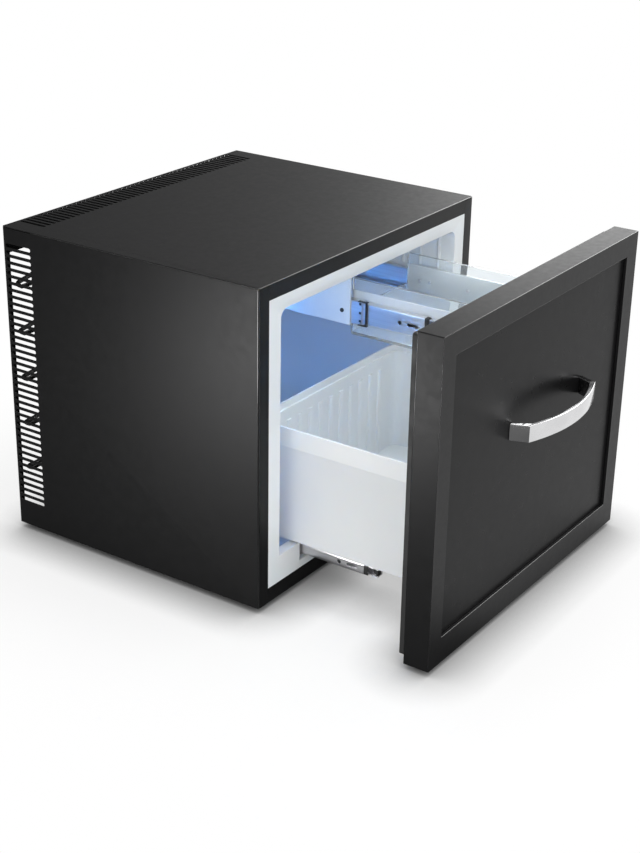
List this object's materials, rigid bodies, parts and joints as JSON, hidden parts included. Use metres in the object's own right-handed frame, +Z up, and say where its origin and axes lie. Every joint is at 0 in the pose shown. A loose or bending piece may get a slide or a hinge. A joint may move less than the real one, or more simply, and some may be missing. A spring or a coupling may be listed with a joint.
{
  "type": "hotel minibar cabinet",
  "caption": "Drawer-type hotel minibar: a black insulated case with a pull-out front, white bin and clear upper tray on telescopic slides, cooled from a vented rear compartment.",
  "frame": {"origin": "under the middle of the space that the part takes up with the drawer as pictured, on the surface that the feet stand on", "axes": "+X to the right seen from the front, +Y to the back, +Z up"},
  "size_m": [0.49, 0.6876, 0.428],
  "materials": {
    "black_paint": "satin black powder coat",
    "black_insert": "semi-gloss black laminate",
    "white_plastic": "white moulded plastic",
    "white_metal": "pale grey-white paint",
    "foam": "rigid polyurethane foam",
    "zinc_steel": "bright zinc plate",
    "aluminium": "mill finish",
    "chrome": "satin chrome",
    "black_rubber": "matt black rubber",
    "black_plastic": "fine-textured black plastic",
    "coil_paint": "matt black paint",
    "ceramic": "white ceramic",
    "clear_acrylic": "clear acrylic",
    "lamp_lens": "frosted lens"
  },
  "bodies": {
    "cabinet": {"left_side_panel": "black_paint", "right_side_panel": "black_paint", "top_panel": "black_paint", "base_panel": "black_paint", "rear_bulkhead": "black_paint", "inner_liner": "white_plastic", "lamp_housing": "white_plastic", "tray_hanger": "white_metal", "insulation_foam": "foam", "front_left_foot": "black_rubber", "front_right_foot": "black_rubber", "rear_left_foot": "black_rubber", "rear_right_foot": "black_rubber", "cold_sink": "aluminium", "cold_block": "aluminium", "hot_plate": "aluminium", "peltier_module": "ceramic", "condenser_coil": "coil_paint", "power_supply": "black_plastic", "mains_inlet": "black_plastic", "left_floor_bracket": "zinc_steel", "right_floor_bracket": "zinc_steel", "lower_left_slide_outer": "zinc_steel", "lower_right_slide_outer": "zinc_steel", "upper_left_slide_outer": "zinc_steel", "upper_right_slide_outer": "zinc_steel", "lamp_lens": "lamp_lens"},
    "drawer": {"front_shell": "black_paint", "front_insert": "black_insert", "front_foam": "foam", "front_inner_panel": "white_plastic", "door_gasket": "black_rubber", "handle": "chrome", "drawer_bin": "white_plastic", "left_bin_carrier": "zinc_steel", "right_bin_carrier": "zinc_steel", "snack_tray": "clear_acrylic", "tray_left_plate": "white_metal", "tray_right_plate": "white_metal", "tray_stay": "white_metal", "lower_left_slide_inner": "zinc_steel", "lower_right_slide_inner": "zinc_steel", "upper_left_slide_inner": "zinc_steel", "upper_right_slide_inner": "zinc_steel"},
    "lower_left_middle": {"lower_left_slide_middle": "zinc_steel", "lower_left_slide_stop": "black_plastic"},
    "lower_right_middle": {"lower_right_slide_middle": "zinc_steel", "lower_right_slide_stop": "black_plastic"},
    "upper_left_middle": {"upper_left_slide_middle": "zinc_steel", "upper_left_slide_stop": "black_plastic"},
    "upper_right_middle": {"upper_right_slide_middle": "zinc_steel", "upper_right_slide_stop": "black_plastic"}
  },
  "joints": [
    {"name": "drawer_slide", "type": "slide", "parent": "cabinet", "child": "drawer", "axis": [0, -1, 0], "range_m": [-0.2015, 0.0765]},
    {"name": "lower_left_middle_slide", "type": "slide", "parent": "cabinet", "child": "lower_left_middle", "axis": [0, -1, 0], "range_m": [-0.1008, 0.0383]},
    {"name": "lower_right_middle_slide", "type": "slide", "parent": "cabinet", "child": "lower_right_middle", "axis": [0, -1, 0], "range_m": [-0.1008, 0.0383]},
    {"name": "upper_left_middle_slide", "type": "slide", "parent": "cabinet", "child": "upper_left_middle", "axis": [0, -1, 0], "range_m": [-0.1008, 0.0383]},
    {"name": "upper_right_middle_slide", "type": "slide", "parent": "cabinet", "child": "upper_right_middle", "axis": [0, -1, 0], "range_m": [-0.1008, 0.0383]}
  ],
  "couplings": [
    {"joint": "lower_left_middle_slide", "follows": "drawer_slide", "ratio": 0.5},
    {"joint": "lower_right_middle_slide", "follows": "drawer_slide", "ratio": 0.5},
    {"joint": "upper_left_middle_slide", "follows": "drawer_slide", "ratio": 0.5},
    {"joint": "upper_right_middle_slide", "follows": "drawer_slide", "ratio": 0.5}
  ]
}
